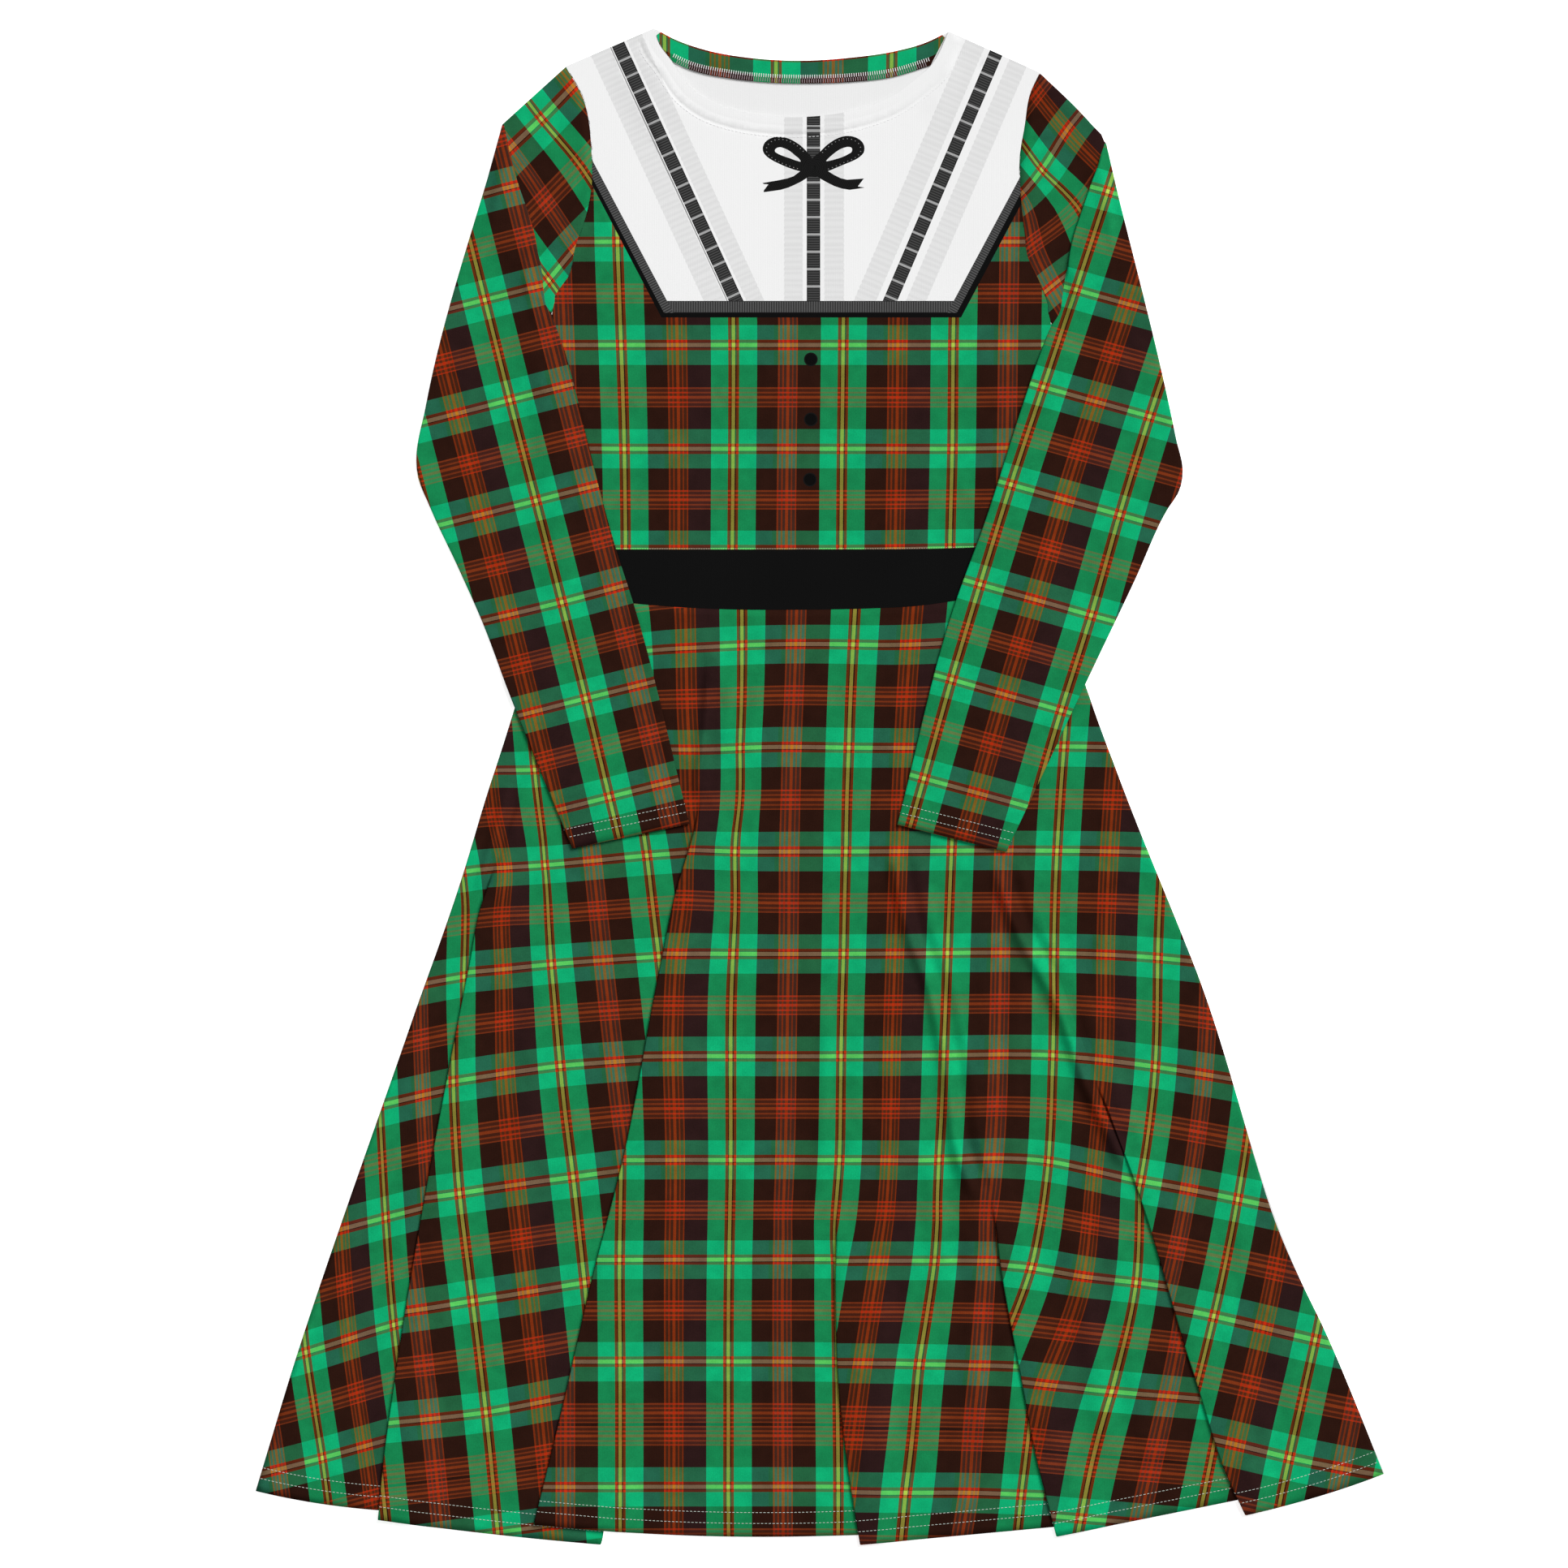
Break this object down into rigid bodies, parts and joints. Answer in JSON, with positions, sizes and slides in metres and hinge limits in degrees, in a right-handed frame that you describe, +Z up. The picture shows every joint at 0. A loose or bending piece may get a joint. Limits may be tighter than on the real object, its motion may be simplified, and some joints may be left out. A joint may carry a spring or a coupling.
{
  "type": "midi dress",
  "caption": "Long-sleeved midi dress with a scooped neck, waistband and flared skirt, laid flat with its front up and its sleeves folded in over the body.",
  "frame": {"origin": "on the surface that the dress lies on, under the middle of its outline", "axes": "+Y from hem to neck, +X to the right of the dress as seen from above with its front up, +Z up out of the front"},
  "size_m": [0.8767, 1.1768, 0.0063],
  "materials": {
    "tartan_knit": "matt printed stretch knit with a fine rib",
    "yoke_knit": "matt printed stretch knit with a fine rib",
    "black_knit": "matt plain stretch knit with a fine rib"
  },
  "bodies": {
    "root": {"bodice_front": "yoke_knit", "bodice_back": "tartan_knit", "neck_turning": "tartan_knit", "waistband_front": "black_knit", "waistband_back": "black_knit", "skirt_front": "tartan_knit", "skirt_back": "tartan_knit", "sleeve_left": "tartan_knit", "sleeve_right": "tartan_knit"}
  },
  "joints": []
}
